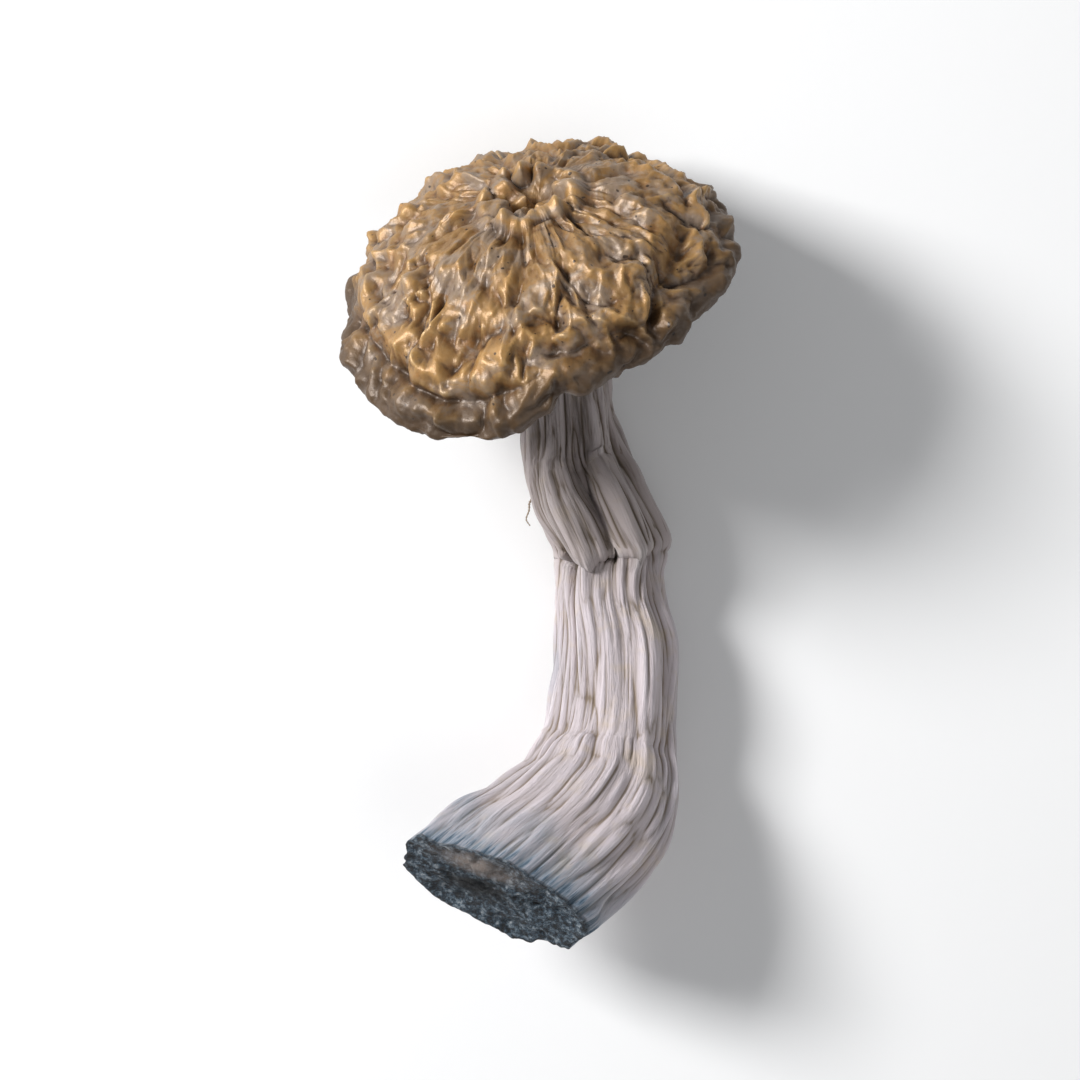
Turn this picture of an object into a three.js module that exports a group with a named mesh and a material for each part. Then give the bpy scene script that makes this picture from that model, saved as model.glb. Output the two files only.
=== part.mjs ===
// A dried mushroom, picked and lying on its side: the cap, its gills and the bent, pleated stem.
// Lengths are in millimetres and angles in degrees. +Z is up, and the table is the plane z = 0.
import * as THREE from "three";

// ---- The cap: a shrunken dome with a dimple on top and a curled rim below ----
const CAP_HEADING = 15; // of the rim's long axis, seen from above
const CAP_TILT = 54; // between the cap's own axis and the vertical
const RIM_RADIUS = 18.2;
const CROWN_HEIGHT = 8.8; // above the middle of the curled rim
const CROWN_POWER = 0.65; // under 1 gives the full shoulder
const DIMPLE_RADIUS = 5;
const DIMPLE_DEPTH = 2.3;
const DIMPLE_SHIFT = [1.1, 1.6]; // off the rim's centre, along and across the rim
const CURL_RADIUS = 1.1; // of the rim's rolled edge
const FLESH_THICKNESS = 0.7; // between the dimple's floor and the roof over the gills
const CAP_FOLDS = 20;
const FOLD_DEPTH = 0.6; // from crest to valley

// How far the rim reaches out and rises, at equal steps round it: a shrunken rim is never round.
const RIM_WAVES = [
  [0.4, 0.7], [-0.6, 0.3], [-0.8, 0], [0.1, 0], [0.3, 0.5], [-0.3, 0.7],
  [0.5, 0.2], [1.2, -1.1], [1.5, -2.5], [-0.8, -0.2], [-1.1, 0.3], [-0.5, 0.2],
];

// ---- The gills: one ring of blades, from the stem out to the curled rim ----
const GILL_COUNT = 60;
const GILL_DEPTH = 4.4;
const GILL_WEB = 0.45; // share of the depth that is left between two blades
const GILL_END_DEPTH = 0.5; // at the rim

// ---- The stem: it hangs from the cap, lies on the table, then lifts its cut foot ----
const NECK_RADIUS = 3.7;
const NECK_LENGTH = 2.5; // straight below the middle of the curled rim
const STEM_PLEATS = 14;
const PLEAT_DEPTH = 0.6; // from crest to valley
// From the cap to the cut. The place is from the rim's centre, and the lift is above the table.
const STATIONS = [
  { place: [2.5, -13.4], lift: 0, halfWidth: 4.4, halfDepth: 4.2, heading: 17 },
  { place: [3.7, -17.9], lift: 0, halfWidth: 5.1, halfDepth: 4.7, heading: 19 },
  { place: [5.1, -20.7], lift: 0, halfWidth: 5.1, halfDepth: 4.9, heading: 19 },
  { place: [6.4, -23.4], lift: 0, halfWidth: 4.95, halfDepth: 4.5, heading: 10 },
  { place: [6.2, -25.4], lift: 0.1, halfWidth: 4.8, halfDepth: 4.3, heading: 0 },
  { place: [6.2, -28.1], lift: 0, halfWidth: 5.2, halfDepth: 4.6, heading: -1 },
  { place: [6.8, -31.8], lift: 0, halfWidth: 5.7, halfDepth: 4.8, heading: 0 },
  { place: [6.8, -36], lift: 0, halfWidth: 6, halfDepth: 5, heading: 0 },
  { place: [6.6, -39.8], lift: 0, halfWidth: 6.25, halfDepth: 5.1, heading: 0 },
  { place: [6.1, -42.4], lift: 0.2, halfWidth: 6.7, halfDepth: 5.2, heading: -6 },
  { place: [5.2, -45.7], lift: 2.2, halfWidth: 7.7, halfDepth: 5.4, heading: -13 },
  { place: [2.9, -48.7], lift: 5, halfWidth: 8.7, halfDepth: 5.5, heading: -17 },
  { place: [-0.8, -51.5], lift: 8, halfWidth: 9.3, halfDepth: 5.6, heading: -22 },
  { place: [-4.5, -54.3], lift: 10.9, halfWidth: 9, halfDepth: 5.7, heading: -26 },
];

const ROOF_HEIGHT = CROWN_HEIGHT - DIMPLE_DEPTH - FLESH_THICKNESS; // above the middle of the curled rim

const JOIN_GAP = 0.3; // between pieces that touch on the real thing
const GILL_CLEARANCE = 1; // between the neck and the gills' inner edge
const FLAT_DEPTH = 0.5; // of the flats that the soft flesh takes where it lies on the table

// ---- How finely the surfaces are cut ----
const CAP_AROUND = 80;
const STEM_AROUND = 56;
const STEM_RINGS = 42;
const DIMPLE_STEPS = 5;
const CROWN_STEPS = 11;
const CURL_STEPS = 6;
const ROOF_STEPS = 7;
const GILL_STEPS = 6;

const radians = THREE.MathUtils.degToRad;
const fullTurn = 2 * Math.PI;

// ---- The cap's own axes: along the rim, across it towards the table, and up through the crown ----
const capAxis = new THREE.Vector3(
  -Math.sin(radians(CAP_HEADING)) * Math.sin(radians(CAP_TILT)),
  Math.cos(radians(CAP_HEADING)) * Math.sin(radians(CAP_TILT)),
  Math.cos(radians(CAP_TILT)),
);
const alongRim = new THREE.Vector3(Math.cos(radians(CAP_HEADING)), Math.sin(radians(CAP_HEADING)), 0);
const acrossRim = new THREE.Vector3().crossVectors(capAxis, alongRim);

const rimCurve = new THREE.CatmullRomCurve3(
  RIM_WAVES.map(([reach, rise]) => new THREE.Vector3(reach, rise, 0)),
  true,
  "catmullrom",
);

// A point of the cap from its angle round the axis, its radius and its height above the rim.
function capPoint(angle, radius, height) {
  const outward = (radius / RIM_RADIUS) ** 3;
  const inward = 1 - Math.min(1, radius / RIM_RADIUS) ** 2;
  const wave = rimCurve.getPoint(THREE.MathUtils.euclideanModulo(angle / fullTurn, 1));
  const reach = radius + outward * wave.x;
  return new THREE.Vector3()
    .addScaledVector(alongRim, reach * Math.cos(angle) + inward * DIMPLE_SHIFT[0])
    .addScaledVector(acrossRim, reach * Math.sin(angle) + inward * DIMPLE_SHIFT[1])
    .addScaledVector(capAxis, height + outward * wave.y);
}

const shares = (count) => Array.from({ length: count }, (_, step) => step / count);
const roofRadius = RIM_RADIUS - 2 * CURL_RADIUS;
const roofHeight = (radius) => ROOF_HEIGHT * (1 - Math.min(1, radius / roofRadius) ** 3);

// The cap's outline as [radius, height], from the dimple over the crown and rim to the roof.
function capOutline() {
  const dimple = shares(DIMPLE_STEPS).map((share) => [
    share * DIMPLE_RADIUS,
    CROWN_HEIGHT - (DIMPLE_DEPTH * (1 + Math.cos(Math.PI * share))) / 2,
  ]);
  const crown = shares(CROWN_STEPS).map((share) => {
    const out = Math.sin((share * Math.PI) / 2);
    const radius = DIMPLE_RADIUS + out * (RIM_RADIUS - DIMPLE_RADIUS);
    return [radius, CROWN_HEIGHT * (1 - out * out) ** CROWN_POWER];
  });
  const curl = shares(CURL_STEPS).map((share) => [
    RIM_RADIUS - CURL_RADIUS + CURL_RADIUS * Math.cos(share * Math.PI),
    -CURL_RADIUS * Math.sin(share * Math.PI),
  ]);
  const roof = shares(ROOF_STEPS).map((share) => [
    (1 - share) * roofRadius,
    roofHeight((1 - share) * roofRadius),
  ]);
  return [...dimple, ...crown, ...curl, ...roof, [0, ROOF_HEIGHT]];
}

// Rings of points joined into one closed surface, by caps at both ends or from the last to the first.
function closedSurface(rings, endToEnd) {
  const around = rings[0].length;
  const points = rings.flat();
  const faces = [];
  const bands = endToEnd ? rings.length : rings.length - 1;
  for (let band = 0; band < bands; band += 1) {
    const here = band * around;
    const next = ((band + 1) % rings.length) * around;
    for (let side = 0; side < around; side += 1) {
      const other = (side + 1) % around;
      faces.push(here + side, next + side, next + other, here + side, next + other, here + other);
    }
  }
  if (!endToEnd) {
    closeRing(points, faces, 0, around, false);
    closeRing(points, faces, bands * around, around, true);
  }
  const geometry = new THREE.BufferGeometry().setFromPoints(points);
  geometry.setIndex(faces);
  geometry.computeVertexNormals();
  return geometry;
}

// A fan of triangles from one ring to its middle.
function closeRing(points, faces, first, around, last) {
  const middle = new THREE.Vector3();
  for (let side = 0; side < around; side += 1) middle.addScaledVector(points[first + side], 1 / around);
  const centre = points.push(middle) - 1;
  for (let side = 0; side < around; side += 1) {
    const here = first + side;
    const other = first + ((side + 1) % around);
    if (last) faces.push(here, centre, other);
    else faces.push(other, centre, here);
  }
}

const ringOf = (count, pointAt) => shares(count).map((share) => pointAt(share * fullTurn));

// Folds that run out from the dimple and die at the roof and at the axis.
function foldRelief(angle, height, radius) {
  const onTop = THREE.MathUtils.smoothstep(height, -CURL_RADIUS, CROWN_HEIGHT / 4);
  const out = THREE.MathUtils.smoothstep(radius, DIMPLE_RADIUS / 2, DIMPLE_RADIUS * 2);
  return (-FOLD_DEPTH * onTop * out * (1 - Math.cos(CAP_FOLDS * angle))) / 2;
}

function buildCap() {
  const outline = capOutline();
  const firstRoof = outline.length - ROOF_STEPS - 1;
  const rings = outline.slice(1, -1).map(([radius, height], step) =>
    ringOf(CAP_AROUND, (angle) => {
      const relief = step + 1 < firstRoof ? foldRelief(angle, height, radius) : 0;
      return capPoint(angle, radius, height + relief);
    }),
  );
  return closedSurface(rings, false);
}

// The gills' section follows the roof at the joint gap and comes back along the blades' lower edge.
function buildGills() {
  const inner = NECK_RADIUS + GILL_CLEARANCE;
  const outer = roofRadius - JOIN_GAP;
  const along = Array.from({ length: GILL_STEPS + 1 }, (_, step) => step / GILL_STEPS);
  const radiusAt = (share) => inner + share * (outer - inner);
  const topAt = (radius) => roofHeight(radius + JOIN_GAP) - JOIN_GAP;
  const depthAt = (share) => GILL_END_DEPTH + (GILL_DEPTH - GILL_END_DEPTH) * Math.sqrt(1 - share ** 2);
  const blades = 2 * GILL_COUNT;
  const rings = [];
  along.forEach((share) => {
    const radius = radiusAt(share);
    rings.push(ringOf(blades, (angle) => capPoint(angle, radius, topAt(radius))));
  });
  [...along].reverse().forEach((share) => {
    const radius = radiusAt(share);
    rings.push(
      shares(blades).map((part, side) => {
        const depth = depthAt(share) * (side % 2 ? GILL_WEB : 1);
        return capPoint(part * fullTurn, radius, topAt(radius) - depth);
      }),
    );
  });
  return closedSurface(rings, true);
}

// ---- The table's height, as the cap rests on its rim ----
function lowestCapPoint() {
  let lowest = 0;
  capOutline().forEach(([radius, height]) => {
    ringOf(CAP_AROUND, (angle) => capPoint(angle, radius, height)).forEach((point) => {
      lowest = Math.min(lowest, point.z);
    });
  });
  return lowest;
}
const tableHeight = lowestCapPoint() + FLAT_DEPTH;

// ---- The stem's centre line and section ----
const neckAt = (height) =>
  new THREE.Vector3()
    .addScaledVector(alongRim, DIMPLE_SHIFT[0])
    .addScaledVector(acrossRim, DIMPLE_SHIFT[1])
    .addScaledVector(capAxis, height);

const stemCentres = new THREE.CatmullRomCurve3(
  [
    neckAt(roofHeight(NECK_RADIUS) - JOIN_GAP),
    neckAt(-NECK_LENGTH),
    ...STATIONS.map(({ place, lift, halfDepth }) => {
      const height = tableHeight - FLAT_DEPTH + lift + halfDepth;
      return new THREE.Vector3(place[0], place[1], height);
    }),
  ],
  false,
  "catmullrom",
);
const stemSections = new THREE.CatmullRomCurve3(
  [
    new THREE.Vector3(NECK_RADIUS, NECK_RADIUS, CAP_HEADING),
    new THREE.Vector3(NECK_RADIUS, NECK_RADIUS, CAP_HEADING),
    ...STATIONS.map(({ halfWidth, halfDepth, heading }) => new THREE.Vector3(halfWidth, halfDepth, heading)),
  ],
  false,
  "catmullrom",
);

// One ring of the stem: its wide way lies level along the heading, its deep way square to that.
function stemRing(share) {
  const centre = stemCentres.getPoint(share);
  const tangent = stemCentres.getTangent(share);
  const { x: halfWidth, y: halfDepth, z: heading } = stemSections.getPoint(share);
  const wide = new THREE.Vector3(Math.cos(radians(heading)), Math.sin(radians(heading)), 0);
  const deep = new THREE.Vector3().crossVectors(wide, tangent).normalize();
  return ringOf(STEM_AROUND, (angle) => {
    const pleat = 1 - ((PLEAT_DEPTH / halfWidth) * (1 - Math.cos(STEM_PLEATS * angle))) / 2;
    return centre
      .clone()
      .addScaledVector(wide, halfWidth * pleat * Math.cos(angle))
      .addScaledVector(deep, halfDepth * pleat * Math.sin(angle));
  });
}

function buildStem() {
  const rings = [];
  for (let ring = 0; ring <= STEM_RINGS; ring += 1) rings.push(stemRing(ring / STEM_RINGS));
  return closedSurface(rings, false);
}

// Presses flat what would reach below the table.
function pressFlat(geometry) {
  const places = geometry.attributes.position;
  for (let point = 0; point < places.count; point += 1) {
    places.setZ(point, Math.max(places.getZ(point), tableHeight));
  }
  geometry.computeVertexNormals();
  return geometry;
}

function piece(name, geometry, color, roughness) {
  const material = new THREE.MeshStandardMaterial({ color, roughness, metalness: 0 });
  const mesh = new THREE.Mesh(pressFlat(geometry), material);
  mesh.name = name;
  return mesh;
}

const mushroom = new THREE.Group();
mushroom.add(
  piece("cap", buildCap(), 0xb48a52, 0.5),
  piece("gills", buildGills(), 0x4a3a34, 0.8),
  piece("stem", buildStem(), 0xcfc6c4, 0.85),
);

// The origin is on the table, under the middle of the object's box.
const box = new THREE.Box3().setFromObject(mushroom);
const middle = box.getCenter(new THREE.Vector3());
mushroom.position.set(-middle.x, -middle.y, -box.min.z);

export default mushroom;
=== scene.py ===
import math

import bpy
import numpy as np
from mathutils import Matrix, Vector


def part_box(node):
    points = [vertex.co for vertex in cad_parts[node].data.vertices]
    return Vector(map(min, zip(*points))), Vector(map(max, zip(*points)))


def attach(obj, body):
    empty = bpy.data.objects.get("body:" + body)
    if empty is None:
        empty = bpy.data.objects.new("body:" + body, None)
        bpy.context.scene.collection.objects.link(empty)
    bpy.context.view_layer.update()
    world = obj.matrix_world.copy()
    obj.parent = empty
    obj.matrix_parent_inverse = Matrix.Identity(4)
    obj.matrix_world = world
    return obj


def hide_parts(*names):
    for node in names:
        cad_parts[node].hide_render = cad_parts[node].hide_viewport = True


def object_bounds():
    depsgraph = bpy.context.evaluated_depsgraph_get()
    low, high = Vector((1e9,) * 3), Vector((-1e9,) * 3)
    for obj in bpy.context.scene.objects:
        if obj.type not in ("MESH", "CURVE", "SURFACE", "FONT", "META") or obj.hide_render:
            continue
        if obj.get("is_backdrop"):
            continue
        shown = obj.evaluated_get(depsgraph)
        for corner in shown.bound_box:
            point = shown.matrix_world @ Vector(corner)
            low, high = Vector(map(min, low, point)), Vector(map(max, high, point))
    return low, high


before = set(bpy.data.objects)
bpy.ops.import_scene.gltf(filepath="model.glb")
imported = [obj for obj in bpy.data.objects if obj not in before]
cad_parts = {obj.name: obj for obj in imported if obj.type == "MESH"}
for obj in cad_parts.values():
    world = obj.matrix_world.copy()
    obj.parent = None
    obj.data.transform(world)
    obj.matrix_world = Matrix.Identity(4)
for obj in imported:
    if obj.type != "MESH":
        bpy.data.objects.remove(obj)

bl_info = {
    "name": "Dried Mushroom",
    "version": (1, 0, 0),
    "blender": (4, 5, 0),
    "location": "3D View > Sidebar > Mushroom",
    "description": "Builds a dried mushroom with a crumpled cap, thin gills and a pleated stem",
    "category": "Add Mesh",
}

MM = 0.001
FULL_TURN = 2 * math.pi

# ---- The grown shape, in millimetres from the middle of the cap's rim, as the CAD solids have it ----
CAP_HEADING = math.radians(15)
CAP_TILT = math.radians(54)
RIM_RADIUS = 18.2
CROWN_HEIGHT = 8.8
CROWN_POWER = 0.65
DIMPLE_RADIUS = 5.0
DIMPLE_DEPTH = 2.3
DIMPLE_SHIFT = (1.1, 1.6)
CURL_RADIUS = 1.1
FLESH_THICKNESS = 0.7
ROOF_HEIGHT = CROWN_HEIGHT - DIMPLE_DEPTH - FLESH_THICKNESS
# Round the rim, twelve places from its right side: how far it reaches out and how far it rises.
RIM_WAVES = (
    (0.4, 0.7), (-0.6, 0.3), (-0.8, 0.0), (0.1, 0.0), (0.3, 0.5), (-0.3, 0.7),
    (0.5, 0.2), (1.2, -1.1), (1.5, -2.5), (-0.8, -0.2), (-1.1, 0.3), (-0.5, 0.2),
)
NECK_RADIUS = 3.7
NECK_LENGTH = 2.5
JOIN_GAP = 0.3
GILL_CLEARANCE = 1.0
FLAT_DEPTH = 0.5
# Place from the rim's centre, lift above the table, half width, half depth, heading in degrees.
STATIONS = (
    (2.5, -13.4, 0.0, 4.4, 4.2, 17),
    (3.7, -17.9, 0.0, 5.1, 4.7, 19),
    (5.1, -20.7, 0.0, 5.1, 4.9, 19),
    (6.4, -23.4, 0.0, 4.95, 4.5, 10),
    (6.2, -25.4, 0.1, 4.8, 4.3, 0),
    (6.2, -28.1, 0.0, 5.2, 4.6, -1),
    (6.8, -31.8, 0.0, 5.7, 4.8, 0),
    (6.8, -36.0, 0.0, 6.0, 5.0, 0),
    (6.6, -39.8, 0.0, 6.25, 5.1, 0),
    (6.1, -42.4, 0.2, 6.7, 5.2, -6),
    (5.2, -45.7, 2.2, 7.7, 5.4, -13),
    (2.9, -48.7, 5.0, 8.7, 5.5, -17),
    (-0.8, -51.5, 8.0, 9.3, 5.6, -22),
    (-4.5, -54.3, 10.9, 9.0, 5.7, -26),
)
# Places along the stem, counted in its path's points from the cap.
NECK_BEND = 2.3
PINCH = 5.15
KNEE = 10.8
CUT = 15

# ---- The cap's folds ----
# Rows down the skin and over the gills, and columns round the cap.
CAP_ROWS = 142
ROOF_ROWS = 8
CAP_COLUMNS = 620
# Facets of the skin: cells in a full turn, a cell's length down the skin, height, and seed.
PLEATS = ((34, 6.5, 1.1, 21), (60, 4.0, 0.5, 27))
FOLDS = ((46, 2.8, 1.5, 22), (80, 1.5, 0.7, 25))
LEDGES = ((12, 1.9, 1.0, 24),)
# Facets of the same size all over: size, height and seed.
CRINKLES = ((0.9, 0.22, 31), (0.5, 0.08, 32))
# A coarser field of facets that shifts the cells of the others, so that no rows of them show.
SHIFT_CELLS = 30
SHIFT_LENGTH = 4
SHIFT_SEEDS = (41, 42, 43)
PLEAT_SHIFT = 0.7
LEDGE_SHIFT = 0.21
# Radii over which the pleats rise from the dimple, give way to the folds, and the ledges join them.
PLEAT_RADII = (4.0, 6.5)
FOLD_RADII = (8, 13)
LEDGE_RADII = (11, 15.5)
FOLD_HEIGHT = 0.8
# How far the skin sinks before it folds, so that its ridges end where the CAD's are.
SKIN_SINK = 0.5
# The dimple's lumps: radii over which they fade, size, height, lift and seed.
LUMP_RADII = (4.2, 5.6)
LUMP_SIZE = 1.7
LUMP_HEIGHT = 1.9
LUMP_LIFT = 0.5
LUMP_SEED = 33
# Facets on the lumps: radii over which they fade, then size, height and seed.
CRUMB_RADII = (4.2, 6.6)
CRUMBS = (0.8, 0.25, 35)

# ---- The stem's pleats ----
# Rows down the stem and columns round it, then rows in over the cut, its roughness and its seed.
STEM_ROWS = 224
STEM_COLUMNS = 400
CUT_ROWS = 22
CUT_DEPTH = 0.5
CUT_SEED = 3
# Cells in a full turn, length, height on the shaft, what is added to it where the shaft is gathered,
# above the pinch and on the foot, and seed.
STEM_PLEATS = (
    (15, 19, 1.5, 0.9, 0.7, -0.6, 61),
    (30, 11, 0.9, 0.5, 0.0, -0.35, 62),
    (62, 6, 0.38, 0.0, 0.0, 0.0, 63),
    (110, 5, 0.14, 0.0, 0.0, 0.0, 64),
    (24, 14, 0.0, 0.0, 0.5, 0.0, 67),
)
# The usual size of a noise, which the pleats' valleys and crests lie about.
PLEAT_LEVEL = 0.3
# Facets of the crushed flesh above the pinch: cells, length, height and seed.
CRUSHED = ((14, 5, 0.5, 65), (34, 5, 0.3, 66))
# How far the flesh sinks before it pleats.
STEM_SINK = 0.25
# Blue patches: place along the stem, angle, reach along, reach round in degrees, and depth.
BRUISES = (
    (9.0, 180, 0.9, 26, 0.55),
    (8.6, 5, 1.6, 22, 0.4),
    (13.6, 200, 1.0, 40, 0.2),
    (12.2, 340, 0.8, 25, 0.25),
)
# Streaks on the cut: middle from the rim's centre, and reach along and across the streak.
PITH = ((-5.6, -51.9), 3.4, 0.9)
DARK_HEART = ((-6.0, -53.7), 3.0, 0.9)
# The streaks' heading, right and up.
STREAK_HEADING = (0.93, -0.36)
# Distance round the stem that the fibres' pattern is laid out on.
STEM_GIRTH = 40

# ---- The gills ----
# Steps along a blade, and the least and most that a short one is shorter than a full one.
BLADE_STEPS = 22
SHORT_BLADES = (3, 7)
BLADE_SEED = 12
# Depth of a blade at the rim, and what is added to it at the neck.
RIM_DEPTH = 0.5
NECK_DEPTH = 3.6
# One blade's section: how far down it each of its eight points is, and on which side.
SECTION_DOWN = np.array([0, 0, 0.33, 0.66, 1, 1, 0.66, 0.33])
SECTION_SIDE = np.array([-1, 1, 1, 1, 0.35, -0.35, -1, -1])

# ---- The torn fibre ----
# How far below the rim's centre it leaves the stem's left side, and its steps from there.
FIBRE_ROOT = -18.9
FIBRE_PATH = ((0, 0, 0), (-0.35, -0.5, 0.5), (-0.4, -1.2, 0.7), (-0.65, -2.0, 0.7), (-0.3, -2.6, 0.6))
FIBRE_RADIUS = 0.11
FIBRE_ROWS = 40
FIBRE_SIDES = 10

# ---- The stage, in metres, with the lens's sensor in millimetres ----
TABLE_REACH = 3.0
KEY_PLACE = (-0.36, 0.16, 0.3)
KEY_SIZE = 0.16
FILL_PLACE = (0.3, -0.22, 0.45)
FILL_SIZE = 0.5
FILL_SHARE = 0.22
ROOM_COLOUR = (0.95, 0.97, 1.0, 1)
ROOM_STRENGTH = 0.26
CAMERA_DISTANCE = 504 * MM
FRAME_WIDTH = 97.2 * MM
SENSOR_WIDTH = 36


# ---- Number helpers: everything works on whole arrays ----
def spline(points, places, closed=False):
    """A uniform Catmull-Rom curve through rows of points, at places counted in points from the first."""
    points = np.asarray(points, float)
    count = len(points)
    places = np.asarray(places, float)
    places = np.mod(places, count) if closed else np.clip(places, 0, count - 1 - 1e-9)
    first = np.floor(places).astype(int)
    part = (places - first)[..., None]

    def at(index):
        return points[np.mod(index, count) if closed else np.clip(index, 0, count - 1)]

    before, here, after, beyond = at(first - 1), at(first), at(first + 1), at(first + 2)
    if not closed:
        before = np.where((first == 0)[..., None], 2 * here - after, before)
        beyond = np.where((first == count - 2)[..., None], 2 * after - here, beyond)
    straight = (after - before) * part
    bend = (2 * before - 5 * here + 4 * after - beyond) * part**2
    twist = (3 * here - before - 3 * after + beyond) * part**3
    return 0.5 * (2 * here + straight + bend + twist)


def smoothstep(low, high, value):
    """0 below low, 1 above high and a smooth cubic between them."""
    share = np.clip((np.asarray(value, float) - low) / (high - low), 0, 1)
    return share * share * (3 - 2 * share)


def bell(value, middle, reach):
    """1 at the middle, falling away smoothly on both sides over reach."""
    return np.exp(-(((value - middle) / reach) ** 2))


def round_bell(angle, degrees, reach):
    """A bell on the angle round a piece, closing on a full turn, with its middle and reach in degrees."""
    return bell(np.mod(np.degrees(angle) - degrees + 180, 360) - 180, 0, reach)


def noise(points, size, seed):
    """Smooth random values from -1 to 1 that change over about size, from a seeded lattice of 32 cells."""
    lattice = np.random.default_rng(seed).uniform(-1, 1, (32, 32, 32))
    scaled = points / size + 1000.0
    cell = np.floor(scaled).astype(int)
    part = scaled - cell
    part = part * part * (3 - 2 * part)
    total = 0.0
    for corner in range(8):
        step = np.array([corner & 1, corner >> 1 & 1, corner >> 2])
        weight = np.prod(np.where(step, part, 1 - part), axis=-1)
        x, y, z = np.moveaxis((cell + step) % 32, -1, 0)
        total = total + weight * lattice[x, y, z]
    return total


def facets(points, size, seed):
    """Heights of crumpled foil from -1 to 1, about size across.

    Random values on a bent and turned lattice are blended straight over the six tetrahedra of each
    cell, so the field is flat facets that meet in sharp edges.
    """
    chance = np.random.default_rng(seed)
    lattice = chance.uniform(-1, 1, (32, 32, 32))
    turn = np.linalg.qr(chance.normal(size=(3, 3)))[0]
    bent = [noise(points, size * 1.7, seed + 101 + axis) for axis in range(3)]
    scaled = (points / size + 0.4 * np.stack(bent, axis=-1)) @ turn + 1000.0
    cell = np.floor(scaled).astype(int)
    part = scaled - cell
    order = np.argsort(-part, axis=-1)
    part = np.take_along_axis(part, order, axis=-1)
    levels = np.concatenate([np.ones_like(part[..., :1]), part, np.zeros_like(part[..., :1])], axis=-1)
    corner = cell
    total = 0.0
    for step in range(4):
        x, y, z = np.moveaxis(corner % 32, -1, 0)
        total = total + (levels[..., step] - levels[..., step + 1]) * lattice[x, y, z]
        if step < 3:
            corner = corner + np.eye(3, dtype=int)[order[..., step]]
    return total


def round_about(angle, cells, lengthwise):
    """Places for noise or facets that close round a piece: cells in a full turn, and the length as given."""
    reach = cells / FULL_TURN
    angle = angle + 0 * lengthwise
    return np.stack([reach * np.cos(angle), reach * np.sin(angle), lengthwise + 0 * angle], axis=-1)


def crumples(angle, down, shift, layers):
    """Facets round a piece, summed over layers, with the places of their cells shifted."""
    return sum(
        height * facets(round_about(angle, cells, down / length) + shift, 1.0, seed)
        for cells, length, height, seed in layers
    )


def lengths(vectors):
    """The length of each vector in the last axis, kept as an axis of one."""
    return np.sqrt(np.einsum("...k,...k->...", vectors, vectors))[..., None]


def walked(path):
    """The distance walked down rows of points, as a column."""
    return np.concatenate([[[0.0]], np.cumsum(lengths(np.diff(path, axis=0)), axis=0)])


def grid_normals(grid):
    """Outward normals of a grid whose columns close on themselves and whose rows run down the piece."""
    around = np.roll(grid, -1, axis=1) - np.roll(grid, 1, axis=1)
    along = np.gradient(grid, axis=0)
    normals = np.cross(along, around)
    return normals / np.maximum(lengths(normals), 1e-12)


def soften(field, passes):
    """Averages a grid field with its four neighbours, columns closing on themselves."""
    for _ in range(passes):
        padded = np.concatenate([field[:1], field, field[-1:]])
        sides = np.roll(field, 1, 1) + np.roll(field, -1, 1)
        field = 0.5 * field + 0.125 * (sides + padded[:-2] + padded[2:])
    return field


# ---- The cap's plain surface ----
CAP_AXIS = np.array([
    -math.sin(CAP_HEADING) * math.sin(CAP_TILT),
    math.cos(CAP_HEADING) * math.sin(CAP_TILT),
    math.cos(CAP_TILT),
])
ALONG_RIM = np.array([math.cos(CAP_HEADING), math.sin(CAP_HEADING), 0.0])
ACROSS_RIM = np.cross(CAP_AXIS, ALONG_RIM)
ROOF_RADIUS = RIM_RADIUS - 2 * CURL_RADIUS


def cap_surface(angle, radius, height):
    """Points of the cap: a turn about its axis whose rim reaches out and rises by the rim's waves."""
    outward = (radius / RIM_RADIUS) ** 3
    inward = 1 - np.clip(radius / RIM_RADIUS, 0, 1) ** 2
    wave = spline(RIM_WAVES, angle / FULL_TURN * len(RIM_WAVES), closed=True)
    reach = radius + outward * wave[..., 0]
    return (
        (reach * np.cos(angle) + inward * DIMPLE_SHIFT[0])[..., None] * ALONG_RIM
        + (reach * np.sin(angle) + inward * DIMPLE_SHIFT[1])[..., None] * ACROSS_RIM
        + (height + outward * wave[..., 1])[..., None] * CAP_AXIS
    )


def roof_height(radius):
    """Height of the flesh over the gills."""
    return ROOF_HEIGHT * (1 - np.clip(radius / ROOF_RADIUS, 0, 1) ** 3)


def cap_outline(skin_rows, roof_rows):
    """Radius and height down the cap: evenly spaced over dimple, crown and curl, then the roof.

    The dimple is half a cosine wave, the crown a fattened quarter of an ellipse and the curl half a
    circle.
    """
    share = np.linspace(0, 1, 200)
    dimple = np.stack([
        share * DIMPLE_RADIUS,
        CROWN_HEIGHT - DIMPLE_DEPTH * (1 + np.cos(math.pi * share)) / 2,
    ], axis=1)
    out = np.sin(share * math.pi / 2)
    crown = np.stack([
        DIMPLE_RADIUS + out * (RIM_RADIUS - DIMPLE_RADIUS),
        CROWN_HEIGHT * (1 - out**2) ** CROWN_POWER,
    ], axis=1)
    turn = share * math.pi
    curl = np.stack([
        RIM_RADIUS - CURL_RADIUS + CURL_RADIUS * np.cos(turn),
        -CURL_RADIUS * np.sin(turn),
    ], axis=1)
    fine = np.concatenate([dimple, crown[1:], curl[1:]])
    reached = walked(fine)[:, 0]
    stops = np.linspace(reached[-1] / skin_rows, reached[-1], skin_rows)
    skin = np.stack([np.interp(stops, reached, fine[:, 0]), np.interp(stops, reached, fine[:, 1])], axis=1)
    radius = ROOF_RADIUS * (1 - np.arange(1, roof_rows + 1) / (roof_rows + 1))
    return np.concatenate([skin, np.stack([radius, roof_height(radius)], axis=1)])


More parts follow.
